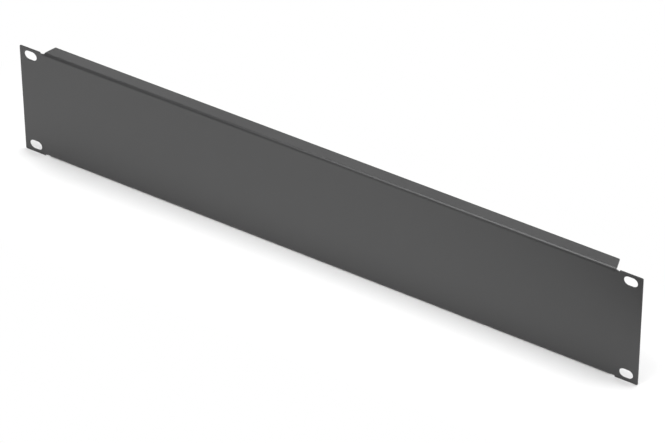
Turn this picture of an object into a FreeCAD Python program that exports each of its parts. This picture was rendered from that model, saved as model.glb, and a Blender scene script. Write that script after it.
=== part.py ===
import FreeCAD, Part
import math
import os
import Sketcher

# Rack blanking panel, two units high, folded from one sheet.
# +X runs along the panel, +Y into the rack and +Z up. The origin is the centre of the four slots,
# on the back of the sheet, which is the face that the ears press against the rack's rails.

size_list = [
    ("panel_width", 482.6, "end to end of the ears, the width of a 19 inch panel"),
    ("panel_height", 88.1, "two rack units of 44.45 less the gap to the next panel"),
    ("sheet_thickness", 1.0, "steel sheet"),
    ("bend_inner_radius", 1.0, "inside of each fold"),
    ("flange_depth", 10.7, "front of the face to the flange's free edge"),
    ("ear_length", 20.0, "end of the panel to the end of the flange"),
    ("flange_end_angle", 17.0, "degrees that a flange's end leans in towards its free edge"),
    ("flange_end_easing", 3.0, "radius where the leaning end starts, just behind the fold"),
    ("flange_corner_radius", 1.0, "corners of the flange's free edge"),
    ("ear_corner_radius", 1.0, "outer corners of the ears"),
    ("slot_end_margin", 8.75, "slot centre to the end of the panel, which sets the centres 465.1 apart"),
    ("slot_edge_margin", 5.95, "slot centre to the long edge, which sets the centres 76.2 apart"),
    ("slot_length", 10.2, "end to end of a slot"),
    ("slot_width", 7.2, "clear of an M6 screw"),
    ("relief_width", 3.0, "notch between an ear and the end of the flange"),
    ("relief_past_sheet", 0.15, "how far the notch runs past the flange's sheet"),
    ("relief_lip_radius", 0.5, "corner where the notch meets the edge of the ear"),
    ("edge_softening", 0.15, "narrow slope that the paint leaves along the cut edges"),
    ("cut_overshoot", 2.0, "how far a cutting outline runs past the metal"),
]

# Places worked out from the sizes. The folded length meets the flat ear at the middle of the relief
# notch. The notch stops partway down the fold's curve, so a low step is left there under its floor.
half_width = "Sizes.panel_width / 2"
half_height = "Sizes.panel_height / 2"
free_edge = "Sizes.flange_depth - Sizes.sheet_thickness"
flange_end = f"{half_width} - Sizes.ear_length"
relief_middle = f"{flange_end} + Sizes.relief_width / 2"
relief_end = f"{flange_end} + Sizes.relief_width"
relief_floor = f"{half_height} - (Sizes.sheet_thickness + Sizes.relief_past_sheet)"
slot_run = "Sizes.slot_length - Sizes.slot_width"
slot_left_centre = f"{half_width} - Sizes.slot_end_margin - ({slot_run}) / 2"
slot_height = f"{half_height} - Sizes.slot_edge_margin"

# A sketch's origin is the start of its horizontal axis.
origin_point = ("horizontal axis", "start")


def make_sheet(doc):
    sheet = doc.addObject("Spreadsheet::Sheet", "Sizes")
    for row, (alias, value, note) in enumerate(size_list, start=1):
        sheet.set(f"A{row}", alias)
        sheet.set(f"B{row}", str(value))
        sheet.set(f"C{row}", note)
        sheet.setAlias(f"B{row}", alias)
    doc.recompute()


def origin_plane(body, role):
    return next(item for item in body.Origin.OriginFeatures if item.Role == role)


def new_sketch(body, name, role):
    """Empty sketch on one of the body's own origin planes."""
    sketch = body.newObject("Sketcher::SketchObject", name)
    sketch.AttachmentSupport = [(origin_plane(body, role), "")]
    sketch.MapMode = "FlatFace"
    return sketch


def number(item, expression):
    """Value that an expression on the size sheet has now."""
    return float(item.evalExpression(expression))


def line(sketch, first, last):
    points = (FreeCAD.Vector(*first, 0), FreeCAD.Vector(*last, 0))
    return sketch.addGeometry(Part.LineSegment(*points), False)


def arc(sketch, centre, radius, first_degrees, last_degrees):
    """Arc that runs anticlockwise from the first angle to the last."""
    circle = Part.Circle(FreeCAD.Vector(*centre, 0), FreeCAD.Vector(0, 0, 1), radius)
    angles = (math.radians(first_degrees), math.radians(last_degrees))
    return sketch.addGeometry(Part.ArcOfCircle(circle, *angles), False)


def as_numbers(geometry):
    """Swap each word for a point or an axis for the number that a sketch knows it by."""
    points = ["edge", "start", "end", "centre"]
    axes = ["vertical axis", "horizontal axis"]
    numbers = []
    for item in geometry:
        if item in points:
            numbers.append(points.index(item))
        elif item in axes:
            numbers.append(axes.index(item) - len(axes))
        else:
            numbers.append(item)
    return numbers


def tie(sketch, kind, *geometry):
    sketch.addConstraint(Sketcher.Constraint(kind, *as_numbers(geometry)))


def drive(sketch, name, expression, kind, *geometry):
    """Dimension that follows the size sheet."""
    start_value = number(sketch, expression)
    index = sketch.addConstraint(Sketcher.Constraint(kind, *as_numbers(geometry), start_value))
    sketch.renameConstraint(index, name)
    sketch.setExpression(f"Constraints.{name}", expression)


def section_sketch(body):
    """Cross-section of the folded length: the face with a flange turned back at top and bottom."""
    sketch = new_sketch(body, "FoldedSection", "YZ_Plane")
    half = number(sketch, half_height)
    thick = number(sketch, "Sizes.sheet_thickness")
    inner = number(sketch, "Sizes.bend_inner_radius")
    tip = number(sketch, free_edge)
    outer = inner + thick
    bend_z = half - outer
    front = line(sketch, (-thick, -bend_z), (-thick, bend_z))
    top = line(sketch, (inner, half), (tip, half))
    top_tip = line(sketch, (tip, half), (tip, half - thick))
    top_under = line(sketch, (tip, half - thick), (inner, half - thick))
    back = line(sketch, (0, bend_z), (0, -bend_z))
    foot_over = line(sketch, (inner, thick - half), (tip, thick - half))
    foot_tip = line(sketch, (tip, thick - half), (tip, -half))
    foot = line(sketch, (tip, -half), (inner, -half))
    top_outer = arc(sketch, (inner, bend_z), outer, 90, 180)
    top_inner = arc(sketch, (inner, bend_z), inner, 90, 180)
    foot_outer = arc(sketch, (inner, -bend_z), outer, 180, 270)
    foot_inner = arc(sketch, (inner, -bend_z), inner, 180, 270)

    tie(sketch, "Tangent", front, "end", top_outer, "end")
    tie(sketch, "Tangent", top_outer, "start", top, "start")
    tie(sketch, "Coincident", top, "end", top_tip, "start")
    tie(sketch, "Coincident", top_tip, "end", top_under, "start")
    tie(sketch, "Tangent", top_under, "end", top_inner, "start")
    tie(sketch, "Tangent", top_inner, "end", back, "start")
    tie(sketch, "Tangent", back, "end", foot_inner, "start")
    tie(sketch, "Tangent", foot_inner, "end", foot_over, "start")
    tie(sketch, "Coincident", foot_over, "end", foot_tip, "start")
    tie(sketch, "Coincident", foot_tip, "end", foot, "start")
    tie(sketch, "Tangent", foot, "end", foot_outer, "end")
    tie(sketch, "Tangent", foot_outer, "start", front, "start")
    for upright in (top_tip, back, foot_tip):
        tie(sketch, "Vertical", upright)
    for level in (top, top_under, foot_over, foot):
        tie(sketch, "Horizontal", level)
    tie(sketch, "Coincident", top_outer, "centre", top_inner, "centre")
    tie(sketch, "Coincident", foot_outer, "centre", foot_inner, "centre")
    tie(sketch, "PointOnObject", back, "start", "vertical axis")
    tie(sketch, "Symmetric", front, "start", front, "end", "horizontal axis")
    tie(sketch, "Equal", top_inner, foot_inner)
    tie(sketch, "Vertical", top, "end", foot, "start")

    drive(sketch, "Thickness", "Sizes.sheet_thickness", "DistanceX", front, "end", back, "start")
    drive(sketch, "InnerRadius", "Sizes.bend_inner_radius", "Radius", top_inner)
    drive(sketch, "Height", "Sizes.panel_height", "DistanceY", foot, "start", top, "end")
    drive(sketch, "Depth", "Sizes.flange_depth", "DistanceX", front, "end", top, "end")
    return sketch


def ear_sketch(body):
    """Flat ear at the right, from the middle of the relief notch to the end of the panel."""
    sketch = new_sketch(body, "EarOutline", "XZ_Plane")
    left = number(sketch, relief_middle)
    right = number(sketch, half_width)
    half = number(sketch, half_height)
    foot = line(sketch, (left, -half), (right, -half))
    end = line(sketch, (right, -half), (right, half))
    top = line(sketch, (right, half), (left, half))
    root = line(sketch, (left, half), (left, -half))
    chain = [foot, end, top, root]
    for this, following in zip(chain, chain[1:] + chain[:1]):
        tie(sketch, "Coincident", this, "end", following, "start")
    for level in (foot, top):
        tie(sketch, "Horizontal", level)
    tie(sketch, "Vertical", root)
    tie(sketch, "Symmetric", end, "start", end, "end", "horizontal axis")
    drive(sketch, "Height", "Sizes.panel_height", "DistanceY", end, "start", end, "end")
    drive(sketch, "Root", relief_middle, "DistanceX", *origin_point, root, "end")
    drive(sketch, "HalfWidth", half_width, "DistanceX", *origin_point, end, "start")
    return sketch


def flange_end_sketch(body):
    """What is trimmed from the right ends of both flanges, seen from above."""
    sketch = new_sketch(body, "FlangeEndTrim", "XY_Plane")
    past_side = f"{relief_middle} + Sizes.cut_overshoot"
    past_free_edge = f"{free_edge} + Sizes.cut_overshoot"
    lean = number(sketch, "Sizes.flange_end_angle")
    radius = number(sketch, "Sizes.flange_end_easing")
    corner_x = number(sketch, flange_end)
    corner_y = number(sketch, "Sizes.bend_inner_radius")
    far_x = number(sketch, past_side)
    far_y = number(sketch, past_free_edge)
    slope_x = corner_x - radius * (1 - math.cos(math.radians(lean)))
    slope_y = corner_y + radius * math.sin(math.radians(lean))
    tip_x = slope_x - (far_y - slope_y) * math.tan(math.radians(lean))
    easing = arc(sketch, (corner_x - radius, corner_y), radius, 0, lean)
    slope = line(sketch, (slope_x, slope_y), (tip_x, far_y))
    far = line(sketch, (tip_x, far_y), (far_x, far_y))
    side = line(sketch, (far_x, far_y), (far_x, corner_y))
    near = line(sketch, (far_x, corner_y), (corner_x, corner_y))
    chain = [slope, far, side, near, easing]
    tie(sketch, "Tangent", easing, "end", slope, "start")
    for this, following in zip(chain, chain[1:]):
        tie(sketch, "Coincident", this, "end", following, "start")
    for level in (far, near):
        tie(sketch, "Horizontal", level)
    tie(sketch, "Vertical", side)
    tie(sketch, "Horizontal", easing, "centre", easing, "start")
    drive(sketch, "Easing", "Sizes.flange_end_easing", "Radius", easing)
    drive(sketch, "CornerX", flange_end, "DistanceX", *origin_point, easing, "start")
    drive(sketch, "CornerY", "Sizes.bend_inner_radius", "DistanceY", *origin_point, easing, "start")
    drive(sketch, "SideX", past_side, "DistanceX", *origin_point, side, "end")
    drive(sketch, "FarY", past_free_edge, "DistanceY", *origin_point, far, "end")
    index = sketch.addConstraint(Sketcher.Constraint("Angle", slope, math.radians(90 + lean)))
    sketch.renameConstraint(index, "Lean")
    sketch.setExpression("Constraints.Lean", "90 deg + Sizes.flange_end_angle * 1 deg")
    return sketch


def slot_sketch(body):
    """Rounded slot at the upper right, lying along the panel."""
    sketch = new_sketch(body, "SlotOutline", "XZ_Plane")
    radius = number(sketch, "Sizes.slot_width / 2")
    left_x = number(sketch, slot_left_centre)
    right_x = left_x + number(sketch, slot_run)
    mid_z = number(sketch, slot_height)
    left_end = arc(sketch, (left_x, mid_z), radius, 90, 270)
    foot = line(sketch, (left_x, mid_z - radius), (right_x, mid_z - radius))
    right_end = arc(sketch, (right_x, mid_z), radius, -90, 90)
    top = line(sketch, (right_x, mid_z + radius), (left_x, mid_z + radius))
    chain = [left_end, foot, right_end, top]
    for this, following in zip(chain, chain[1:] + chain[:1]):
        tie(sketch, "Tangent", this, "end", following, "start")
    tie(sketch, "Horizontal", foot)
    tie(sketch, "Equal", left_end, right_end)
    drive(sketch, "EndRadius", "Sizes.slot_width / 2", "Radius", left_end)
    drive(sketch, "Run", slot_run, "DistanceX", left_end, "centre", right_end, "centre")
    drive(sketch, "LeftX", slot_left_centre, "DistanceX", *origin_point, left_end, "centre")
    drive(sketch, "Height", slot_height, "DistanceY", *origin_point, left_end, "centre")
    return sketch


def relief_sketch(body):
    """Notch at the upper right, cut down past the flange's sheet where the flange leaves the ear."""
    sketch = new_sketch(body, "ReliefOutline", "XZ_Plane")
    past_top = f"{half_height} + Sizes.cut_overshoot"
    left = number(sketch, flange_end)
    right = number(sketch, relief_end)
    floor = number(sketch, relief_floor)
    ceiling = number(sketch, past_top)
    flange_side = line(sketch, (left, ceiling), (left, floor))
    bottom = line(sketch, (left, floor), (right, floor))
    ear_side = line(sketch, (right, floor), (right, ceiling))
    lid = line(sketch, (right, ceiling), (left, ceiling))
    chain = [flange_side, bottom, ear_side, lid]
    for this, following in zip(chain, chain[1:] + chain[:1]):
        tie(sketch, "Coincident", this, "end", following, "start")
    for upright in (flange_side, ear_side):
        tie(sketch, "Vertical", upright)
    for level in (bottom, lid):
        tie(sketch, "Horizontal", level)
    drive(sketch, "Width", "Sizes.relief_width", "DistanceX", lid, "end", lid, "start")
    drive(sketch, "FlangeEnd", flange_end, "DistanceX", *origin_point, lid, "end")
    drive(sketch, "Floor", relief_floor, "DistanceY", *origin_point, bottom, "start")
    drive(sketch, "Ceiling", past_top, "DistanceY", *origin_point, lid, "end")
    return sketch


def cut_through(body, name, sketch):
    """Cut an outline right through the metal, both ways from its plane."""
    before = body.Tip.Shape.Volume
    cut = body.newObject("PartDesign::Pocket", name)
    cut.Profile = sketch
    cut.Type = "ThroughAll"
    cut.SideType = "Symmetric"
    body.Tip = cut
    body.Document.recompute()
    if not cut.Shape.Volume < before:
        raise RuntimeError(f"{name} removes nothing")
    return cut


def dress_edges(body, kind, name, expression, wanted):
    """Round or slope the edges of the current solid that a test picks out."""
    sizes = {"Fillet": "Radius", "Chamfer": "Size"}
    base = body.Tip
    edges = enumerate(base.Shape.Edges, start=1)
    names = [f"Edge{index}" for index, edge in edges if wanted(base.Shape, edge)]
    if not names:
        raise RuntimeError(f"{name} finds no edge")
    feature = body.newObject(f"PartDesign::{kind}", name)
    feature.Base = (base, names)
    feature.setExpression(sizes[kind], expression)
    body.Tip = feature
    body.Document.recompute()


def same(first, second):
    return math.isclose(first, second, abs_tol=0.001)


def runs_along(edge, axis):
    """Whether an edge is straight and parallel to a row axis (0, 1 or 2)."""
    return isinstance(edge.Curve, Part.Line) and same(abs(edge.Curve.Direction[axis]), 1)


def middle_of(edge):
    return edge.valueAt((edge.FirstParameter + edge.LastParameter) / 2)


def is_sharp(shape, edge):
    """Whether the two faces at an edge turn by more than a soft join does."""
    soft_degrees = 30
    point = middle_of(edge)
    normals = []
    for face in shape.ancestorsOfType(edge, Part.Face):
        u, v = face.Surface.parameter(point)
        normals.append(face.normalAt(u, v))
    return len(normals) == 2 and math.degrees(normals[0].getAngle(normals[1])) > soft_degrees


def build_panel(doc):
    body = doc.addObject("PartDesign::Body", "BlankingPanel")
    body.Label = "blanking_panel"

    folded = body.newObject("PartDesign::Pad", "FoldedLength")
    folded.Profile = section_sketch(body)
    folded.SideType = "Symmetric"
    folded.setExpression("Length", f"2 * ({relief_middle})")
    body.Tip = folded
    doc.recompute()

    ear = body.newObject("PartDesign::Pad", "Ear")
    ear.Profile = ear_sketch(body)
    ear.setExpression("Length", "Sizes.sheet_thickness")
    body.Tip = ear
    doc.recompute()

    trim = cut_through(body, "FlangeEnd", flange_end_sketch(body))
    other_end = body.newObject("PartDesign::Mirrored", "OtherEnd")
    other_end.Originals = [ear, trim]
    other_end.MirrorPlane = (origin_plane(body, "YZ_Plane"), [""])
    body.Tip = other_end
    doc.recompute()

    relief = cut_through(body, "Relief", relief_sketch(body))
    slot = cut_through(body, "Slot", slot_sketch(body))
    corners = body.newObject("PartDesign::MultiTransform", "FourCorners")
    corners.Originals = [relief, slot]
    left_right = body.newObject("PartDesign::Mirrored", "LeftAndRight")
    left_right.MirrorPlane = (origin_plane(body, "YZ_Plane"), [""])
    up_down = body.newObject("PartDesign::Mirrored", "UpAndDown")
    up_down.MirrorPlane = (origin_plane(body, "XY_Plane"), [""])
    corners.Transformations = [left_right, up_down]
    body.Tip = corners
    doc.recompute()

    end_x = number(body, half_width)
    lip_x = number(body, relief_end)
    middle_x = number(body, relief_middle)
    edge_z = number(body, half_height)
    floor_z = number(body, relief_floor)
    tip_y = number(body, free_edge)

    def at_ear_corner(shape, edge):
        return runs_along(edge, 1) and same(abs(middle_of(edge).x), end_x)

    def at_relief_lip(shape, edge):
        point = middle_of(edge)
        return runs_along(edge, 1) and same(abs(point.x), lip_x) and same(abs(point.z), edge_z)

    def at_flange_corner(shape, edge):
        return runs_along(edge, 2) and same(middle_of(edge).y, tip_y)

    def is_cut_edge(shape, edge):
        point = middle_of(edge)
        on_floor = same(abs(point.z), floor_z)
        on_step = same(abs(point.x), middle_x)
        return is_sharp(shape, edge) and not on_floor and not on_step

    dress_edges(body, "Fillet", "EarCorners", "Sizes.ear_corner_radius", at_ear_corner)
    dress_edges(body, "Fillet", "ReliefLips", "Sizes.relief_lip_radius", at_relief_lip)
    dress_edges(body, "Fillet", "FlangeCorners", "Sizes.flange_corner_radius", at_flange_corner)
    dress_edges(body, "Chamfer", "CutEdges", "Sizes.edge_softening", is_cut_edge)
    return body


def check(doc, body):
    for item in doc.Objects:
        if "Invalid" in item.State or "Error" in item.State:
            raise RuntimeError(f"{item.Name} failed: {item.State}")
    shape = body.Shape
    if shape.isNull() or not shape.isValid():
        raise RuntimeError(f"{body.Label} has no sound shape")
    if len(shape.Solids) != 1:
        raise RuntimeError(f"{body.Label} is {len(shape.Solids)} solids, not one folded sheet")


document = FreeCAD.newDocument("blanking_panel")
make_sheet(document)
panel = build_panel(document)
document.recompute()
check(document, panel)

os.makedirs("parts", exist_ok=True)
panel.Shape.exportStep(f"parts/{panel.Label}.step")
box = panel.Shape.BoundBox
print(f"{panel.Label}: {box.XLength:.2f} x {box.YLength:.2f} x {box.ZLength:.2f} mm")
print(f"volume {panel.Shape.Volume:.0f} mm3, {len(panel.Shape.Faces)} faces, {len(panel.Shape.Edges)} edges")
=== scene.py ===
import bmesh
import bpy
import math
from mathutils import Matrix, Vector


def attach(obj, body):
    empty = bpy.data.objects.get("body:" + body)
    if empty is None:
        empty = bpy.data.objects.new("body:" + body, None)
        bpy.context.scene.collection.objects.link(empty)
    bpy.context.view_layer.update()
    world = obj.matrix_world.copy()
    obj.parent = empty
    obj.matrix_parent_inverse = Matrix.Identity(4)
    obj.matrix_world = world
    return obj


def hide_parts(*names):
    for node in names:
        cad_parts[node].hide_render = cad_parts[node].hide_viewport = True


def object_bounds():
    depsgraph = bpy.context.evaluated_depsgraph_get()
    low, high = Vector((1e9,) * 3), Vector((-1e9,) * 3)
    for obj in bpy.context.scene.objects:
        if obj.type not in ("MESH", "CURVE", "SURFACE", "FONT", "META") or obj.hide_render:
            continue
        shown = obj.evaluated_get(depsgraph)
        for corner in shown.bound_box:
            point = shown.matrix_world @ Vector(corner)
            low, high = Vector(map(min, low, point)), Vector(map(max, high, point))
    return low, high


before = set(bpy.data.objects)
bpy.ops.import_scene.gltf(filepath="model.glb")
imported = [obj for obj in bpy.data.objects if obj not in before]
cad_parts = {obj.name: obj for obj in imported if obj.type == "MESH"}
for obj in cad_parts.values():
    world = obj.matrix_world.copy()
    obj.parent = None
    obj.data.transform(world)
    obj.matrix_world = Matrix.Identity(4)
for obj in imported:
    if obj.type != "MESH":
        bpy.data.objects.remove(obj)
cadLow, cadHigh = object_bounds()
print("frame loaded")

scene = bpy.context.scene
floorHeight = cadLow.z  # the panel stands on its lower flange


# small helpers for node trees

def addNode(tree, kind, **values):
    node = tree.nodes.new(kind)
    for name, value in values.items():
        setattr(node, name, value)
    return node


def link(tree, source, target):
    tree.links.new(source, target)


def newGroup(name, inputs, outputs):
    # inputs: name -> (socket type, default); outputs: name -> socket type
    group = bpy.data.node_groups.new(name, "ShaderNodeTree")
    for label, (kind, value) in inputs.items():
        socket = group.interface.new_socket(name=label, in_out="INPUT", socket_type=kind)
        if value is not None:
            socket.default_value = value
    for label, kind in outputs.items():
        group.interface.new_socket(name=label, in_out="OUTPUT", socket_type=kind)
    return group, addNode(group, "NodeGroupInput"), addNode(group, "NodeGroupOutput")


def placeGroup(tree, group, **values):
    node = addNode(tree, "ShaderNodeGroup", node_tree=group)
    for name, value in values.items():
        node.inputs[name].default_value = value
    return node


def mathNode(tree, operation, first, second=None):
    node = addNode(tree, "ShaderNodeMath", operation=operation)
    for socket, value in zip(node.inputs, (first, second)):
        if value is None:
            continue
        if isinstance(value, (int, float)):
            socket.default_value = value
        else:
            link(tree, value, socket)
    return node.outputs[0]


def rampBetween(tree, value, low, high, toLow=0.0, toHigh=1.0):
    # smooth step of a value between two limits
    node = addNode(tree, "ShaderNodeMapRange", interpolation_type="SMOOTHSTEP")
    limits = {"From Min": low, "From Max": high, "To Min": toLow, "To Max": toHigh}
    for name, number in limits.items():
        node.inputs[name].default_value = number
    link(tree, value, node.inputs["Value"])
    return node.outputs["Result"]


# powder coat

millimetresPerMetre = 1000.0

coat = {
    "darkTone": (0.0295, 0.0295, 0.0298, 1),
    "lightTone": (0.0345, 0.0345, 0.0348, 1),
    "roughLow": 0.32,
    "roughHigh": 0.40,
    "grainSize": 0.45,  # sizes in millimetres
    "peelSize": 4.0,
    "peelShare": 0.35,
    "cloudSize": 70.0,
    "bumpHeight": 0.00002,
    "bumpStrength": 0.35,
    "grainDetail": 2.0,
    "grainRoughness": 0.6,
    "peelDetail": 1.0,
    "cloudDetail": 3.0,
    "speckleRange": (0.35, 0.65),
    "cloudRange": (0.3, 0.7),
    "speckleShare": 0.6,  # of the speckle in the tone, the rest being the clouds
    "ior": 1.5,
}


def makeCoatGrain():
    # fine texture of baked powder, over a slow orange peel
    inputs = {
        "Vector": ("NodeSocketVector", None),
        "Grain Size": ("NodeSocketFloat", 0.5),
        "Peel Size": ("NodeSocketFloat", 5.0),
        "Peel Share": ("NodeSocketFloat", 0.4),
    }
    outputs = {"Height": "NodeSocketFloat", "Speckle": "NodeSocketFloat"}
    group, start, end = newGroup("coatGrain", inputs, outputs)
    grainScale = mathNode(group, "DIVIDE", millimetresPerMetre, start.outputs["Grain Size"])
    peelScale = mathNode(group, "DIVIDE", millimetresPerMetre, start.outputs["Peel Size"])
    grain = addNode(group, "ShaderNodeTexNoise")
    grain.inputs["Detail"].default_value = coat["grainDetail"]
    grain.inputs["Roughness"].default_value = coat["grainRoughness"]
    peel = addNode(group, "ShaderNodeTexNoise")
    peel.inputs["Detail"].default_value = coat["peelDetail"]
    for texture, scale in ((grain, grainScale), (peel, peelScale)):
        link(group, start.outputs["Vector"], texture.inputs["Vector"])
        link(group, scale, texture.inputs["Scale"])
    mixed = addNode(group, "ShaderNodeMix", data_type="FLOAT")
    link(group, start.outputs["Peel Share"], mixed.inputs["Factor"])
    link(group, grain.outputs["Fac"], mixed.inputs["A"])
    link(group, peel.outputs["Fac"], mixed.inputs["B"])
    link(group, mixed.outputs["Result"], end.inputs["Height"])
    speckle = rampBetween(group, grain.outputs["Fac"], *coat["speckleRange"])
    link(group, speckle, end.inputs["Speckle"])
    return group


def makeSlowClouds():
    # broad, faint unevenness of the coat: 0 to 1
    inputs = {"Vector": ("NodeSocketVector", None), "Cloud Size": ("NodeSocketFloat", 60.0)}
    group, start, end = newGroup("slowClouds", inputs, {"Mask": "NodeSocketFloat"})
    cloud = addNode(group, "ShaderNodeTexNoise")
    cloud.inputs["Detail"].default_value = coat["cloudDetail"]
    link(group, start.outputs["Vector"], cloud.inputs["Vector"])
    cloudScale = mathNode(group, "DIVIDE", millimetresPerMetre, start.outputs["Cloud Size"])
    link(group, cloudScale, cloud.inputs["Scale"])
    link(group, rampBetween(group, cloud.outputs["Fac"], *coat["cloudRange"]), end.inputs["Mask"])
    return group


def makePowderCoat(grainGroup, cloudGroup):
    material = bpy.data.materials.new("powderCoat")
    material.use_nodes = True
    tree = material.node_tree
    tree.nodes.clear()
    place = addNode(tree, "ShaderNodeTexCoord").outputs["Object"]
    grain = placeGroup(tree, grainGroup, **{
        "Grain Size": coat["grainSize"],
        "Peel Size": coat["peelSize"],
        "Peel Share": coat["peelShare"],
    })
    clouds = placeGroup(tree, cloudGroup, **{"Cloud Size": coat["cloudSize"]})
    link(tree, place, grain.inputs["Vector"])
    link(tree, place, clouds.inputs["Vector"])

    speckleTone = mathNode(tree, "MULTIPLY", grain.outputs["Speckle"], coat["speckleShare"])
    cloudTone = mathNode(tree, "MULTIPLY", clouds.outputs["Mask"], 1.0 - coat["speckleShare"])
    tone = mathNode(tree, "ADD", speckleTone, cloudTone)
    colour = addNode(tree, "ShaderNodeMix", data_type="RGBA")
    colour.inputs["A"].default_value = coat["darkTone"]
    colour.inputs["B"].default_value = coat["lightTone"]
    link(tree, tone, colour.inputs["Factor"])
    rough = addNode(tree, "ShaderNodeMapRange")
    rough.inputs["To Min"].default_value = coat["roughLow"]
    rough.inputs["To Max"].default_value = coat["roughHigh"]
    link(tree, tone, rough.inputs["Value"])
    bump = addNode(tree, "ShaderNodeBump")
    bump.inputs["Strength"].default_value = coat["bumpStrength"]
    bump.inputs["Distance"].default_value = coat["bumpHeight"]
    link(tree, grain.outputs["Height"], bump.inputs["Height"])

    surface = addNode(tree, "ShaderNodeBsdfPrincipled")
    surface.inputs["IOR"].default_value = coat["ior"]
    link(tree, colour.outputs["Result"], surface.inputs["Base Color"])
    link(tree, rough.outputs["Result"], surface.inputs["Roughness"])
    link(tree, bump.outputs["Normal"], surface.inputs["Normal"])
    link(tree, surface.outputs["BSDF"], addNode(tree, "ShaderNodeOutputMaterial").inputs["Surface"])
    return material


# the folded sheet, from a merged copy of its solid

sheet = {
    "weldDistance": 0.000002,
    "flatAngle": math.radians(0.5),  # triangles this flat to each other become one face
    "normalWeight": 100,  # how far the large faces set the shading at their edges
}


def makeFoldedSheet(solid, material):
    mesh = solid.data.copy()
    mesh.name = "foldedSheet"
    bm = bmesh.new()
    bm.from_mesh(mesh)
    bmesh.ops.remove_doubles(bm, verts=bm.verts, dist=sheet["weldDistance"])
    bmesh.ops.dissolve_limit(
        bm,
        angle_limit=sheet["flatAngle"],
        verts=bm.verts,
        edges=bm.edges,
        use_dissolve_boundaries=False,
    )
    for face in bm.faces:
        face.smooth = True
    for edge in bm.edges:
        edge.smooth = True
    bm.to_mesh(mesh)
    openEdges = sum(1 for edge in bm.edges if not edge.is_manifold)
    bm.free()
    mesh.materials.clear()
    mesh.materials.append(material)
    piece = bpy.data.objects.new("foldedSheet", mesh)
    scene.collection.objects.link(piece)
    # the narrow slopes along the cut edges then shade as rounded ones
    weighted = piece.modifiers.new("weightedNormal", "WEIGHTED_NORMAL")
    weighted.mode = "FACE_AREA"
    weighted.weight = sheet["normalWeight"]
    weighted.keep_sharp = False
    print("folded sheet:", len(mesh.polygons), "faces,", openEdges, "open edges")
    return piece


powderCoat = makePowderCoat(makeCoatGrain(), makeSlowClouds())
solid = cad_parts["blanking_panel"]
foldedSheet = makeFoldedSheet(solid, powderCoat)
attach(foldedSheet, "root")
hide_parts("blanking_panel")
print("panel dressed")


# camera, at the photograph's angle

view = {
    "azimuth": 32.2,
    "elevation": 38.3,
    "roll": 0.35,
    "distance": 2.658,  # metres
    "slideRight": -0.0084,
    "slideDown": -0.0073,
    "lens": 217.08,  # millimetres
    "sensor": 36.0,
    "target": Vector((0, -0.001, 0)),  # centre of the front face
}


def makeCamera():
    turns = ("azimuth", "elevation", "roll")
    azimuth, elevation, roll = (math.radians(view[name]) for name in turns)
    forward = Vector((
        -math.sin(azimuth) * math.cos(elevation),
        math.cos(azimuth) * math.cos(elevation),
        -math.sin(elevation),
    ))
    right = Vector((math.cos(azimuth), math.sin(azimuth), 0))
    down = forward.cross(right)
    right, down = (
        right * math.cos(roll) + down * math.sin(roll),
        down * math.cos(roll) - right * math.sin(roll),
    )
    data = bpy.data.cameras.new("camera")
    data.sensor_width = view["sensor"]
    data.lens = view["lens"]
    camera = bpy.data.objects.new("camera", data)
    scene.collection.objects.link(camera)
    slide = right * view["slideRight"] + down * view["slideDown"]
    place = view["target"] - slide - forward * view["distance"]
    turn = Matrix((right, -down, -forward)).transposed()
    camera.matrix_world = Matrix.Translation(place) @ turn.to_4x4()
    scene.camera = camera
    return forward


forward = makeCamera()
towardsCamera = Vector((-forward.x, -forward.y, 0)).normalized()
print("camera placed")


# white table, which ends a little in front of the panel

table = {
    "nearEdge": 0.185,  # from the panel's middle towards the camera
    "farEdge": 0.75,  # the same, away from the camera
    "halfWidth": 0.9,
    "colour": (0.93, 0.93, 0.93, 1),
    "fadeFrom": 0.0,  # the shadow fades out between these distances from the panel
    "fadeTo": 0.10,
}


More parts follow.
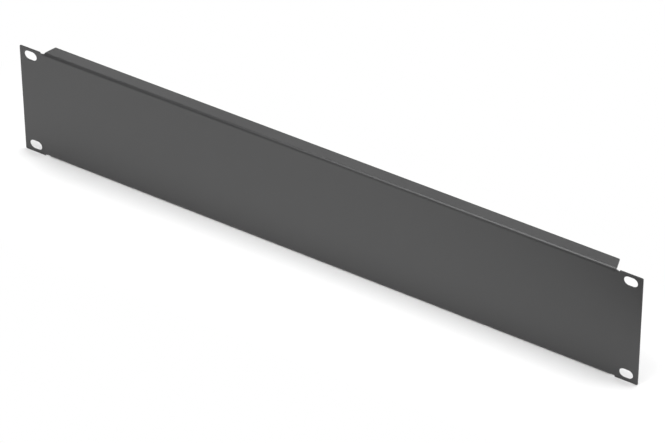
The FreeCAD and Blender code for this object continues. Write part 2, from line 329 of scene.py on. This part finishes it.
def makeTable():
    bm = bmesh.new()
    bmesh.ops.create_grid(bm, x_segments=1, y_segments=1, size=1)
    side = Vector((-towardsCamera.y, towardsCamera.x, 0))
    turn = Matrix((side, -towardsCamera, Vector((0, 0, 1)))).transposed().to_4x4()
    depth = (table["nearEdge"] + table["farEdge"]) / 2
    middle = towardsCamera * (table["nearEdge"] - depth)
    bmesh.ops.scale(bm, vec=(table["halfWidth"], depth, 1), verts=bm.verts)
    bmesh.ops.transform(bm, matrix=turn, verts=bm.verts)
    bmesh.ops.translate(bm, vec=(middle.x, middle.y, floorHeight), verts=bm.verts)
    mesh = bpy.data.meshes.new("table")
    bm.to_mesh(mesh)
    bm.free()

    material = bpy.data.materials.new("whiteTable")
    material.use_nodes = True
    tree = material.node_tree
    tree.nodes.clear()
    place = addNode(tree, "ShaderNodeSeparateXYZ")
    link(tree, addNode(tree, "ShaderNodeTexCoord").outputs["Object"], place.inputs["Vector"])
    # distance from the line on which the panel stands
    along = mathNode(tree, "ABSOLUTE", place.outputs["X"])
    pastEnd = mathNode(tree, "MAXIMUM", mathNode(tree, "SUBTRACT", along, cadHigh.x), 0.0)
    pastEnd = mathNode(tree, "POWER", pastEnd, 2.0)
    across = mathNode(tree, "POWER", place.outputs["Y"], 2.0)
    away = mathNode(tree, "SQRT", mathNode(tree, "ADD", pastEnd, across))
    fade = rampBetween(tree, away, table["fadeFrom"], table["fadeTo"])
    seen = addNode(tree, "ShaderNodeLightPath").outputs["Is Camera Ray"]
    paint = addNode(tree, "ShaderNodeBsdfDiffuse")
    paint.inputs["Color"].default_value = table["colour"]
    white = addNode(tree, "ShaderNodeEmission")
    mixed = addNode(tree, "ShaderNodeMixShader")
    link(tree, mathNode(tree, "MULTIPLY", seen, fade), mixed.inputs["Fac"])
    link(tree, paint.outputs["BSDF"], mixed.inputs[1])
    link(tree, white.outputs["Emission"], mixed.inputs[2])
    link(tree, mixed.outputs["Shader"], addNode(tree, "ShaderNodeOutputMaterial").inputs["Surface"])
    mesh.materials.append(material)
    floor = bpy.data.objects.new("table", mesh)
    scene.collection.objects.link(floor)


# lights: places and sizes in metres, turns in degrees (tilt, heading)
lamps = {
    # two softboxes overhead, behind and in front of the panel
    "backSoftbox": {
        "place": (0.10, 0.10, 0.70),
        "size": (0.75, 0.20),
        "turn": (0, 0),
        "radiance": 7.4,
    },
    "frontSoftbox": {
        "place": (-0.025, -0.24, 0.70),
        "size": (0.50, 0.20),
        "turn": (0, 0),
        "radiance": 10.8,
    },
    # upright card at the left in front, which shows in the middle of the upper fold
    "card": {
        "place": (-0.12, -0.50, 0.10),
        "size": (0.22, 0.16),
        "turn": (90, -15),
        "radiance": 2.1,
    },
}


def makeLamp(name, values):
    data = bpy.data.lights.new(name, "AREA")
    data.shape = "RECTANGLE"
    data.size, data.size_y = values["size"]
    data.energy = values["radiance"] * math.pi * data.size * data.size_y
    tilt, heading = (math.radians(angle) for angle in values["turn"])
    lamp = bpy.data.objects.new(name, data)
    lamp.location = values["place"]
    lamp.rotation_euler = (tilt, 0, heading)
    lamp.visible_camera = False
    scene.collection.objects.link(lamp)


room = {
    # white wall behind the table, brighter in its upper part
    "wallLow": 0.2,
    "wallHigh": 4.6,
    "sideLight": 2.5,  # bright wall at the camera's right
    # heights on the walls, as the sine of the angle up from the panel
    "wallTurns": 0.20,
    "wallTop": 0.45,
    "wallFoot": -0.10,
    "softness": 0.05,
}


def makeRoom():
    world = bpy.data.worlds.new("room")
    scene.world = world
    world.use_nodes = True
    tree = world.node_tree
    tree.nodes.clear()
    direction = addNode(tree, "ShaderNodeTexCoord").outputs["Generated"]
    facing = addNode(tree, "ShaderNodeVectorMath", operation="DOT_PRODUCT")
    facing.inputs[1].default_value = towardsCamera
    link(tree, direction, facing.inputs[0])
    upward = addNode(tree, "ShaderNodeSeparateXYZ")
    link(tree, direction, upward.inputs["Vector"])

    def past(value, limit, toLow=0.0, toHigh=1.0):
        low, high = limit - room["softness"], limit + room["softness"]
        return rampBetween(tree, value, low, high, toLow, toHigh)

    front = past(facing.outputs["Value"], 0.0)
    high = past(upward.outputs["Z"], room["wallTop"])
    wallBand = mathNode(tree, "SUBTRACT", past(upward.outputs["Z"], room["wallFoot"]), high)
    behind = past(upward.outputs["Z"], room["wallTurns"], room["wallLow"], room["wallHigh"])
    behind = mathNode(tree, "MULTIPLY", behind, mathNode(tree, "SUBTRACT", 1.0, front))
    beside = past(upward.outputs["X"], 0.0, 0.0, room["sideLight"])
    beside = mathNode(tree, "MULTIPLY", beside, front)
    wallLight = mathNode(tree, "MULTIPLY", mathNode(tree, "ADD", behind, beside), wallBand)
    walls = addNode(tree, "ShaderNodeBackground")
    link(tree, wallLight, walls.inputs["Strength"])
    white = addNode(tree, "ShaderNodeBackground")
    mixed = addNode(tree, "ShaderNodeMixShader")
    link(tree, addNode(tree, "ShaderNodeLightPath").outputs["Is Camera Ray"], mixed.inputs["Fac"])
    for background in (walls, white):
        background.inputs["Color"].default_value = (1, 1, 1, 1)
    link(tree, walls.outputs["Background"], mixed.inputs[1])
    link(tree, white.outputs["Background"], mixed.inputs[2])
    link(tree, mixed.outputs["Shader"], addNode(tree, "ShaderNodeOutputWorld").inputs["Surface"])


makeTable()
for name, values in lamps.items():
    makeLamp(name, values)
makeRoom()
scene.view_settings.view_transform = "Standard"
print("table and light placed")
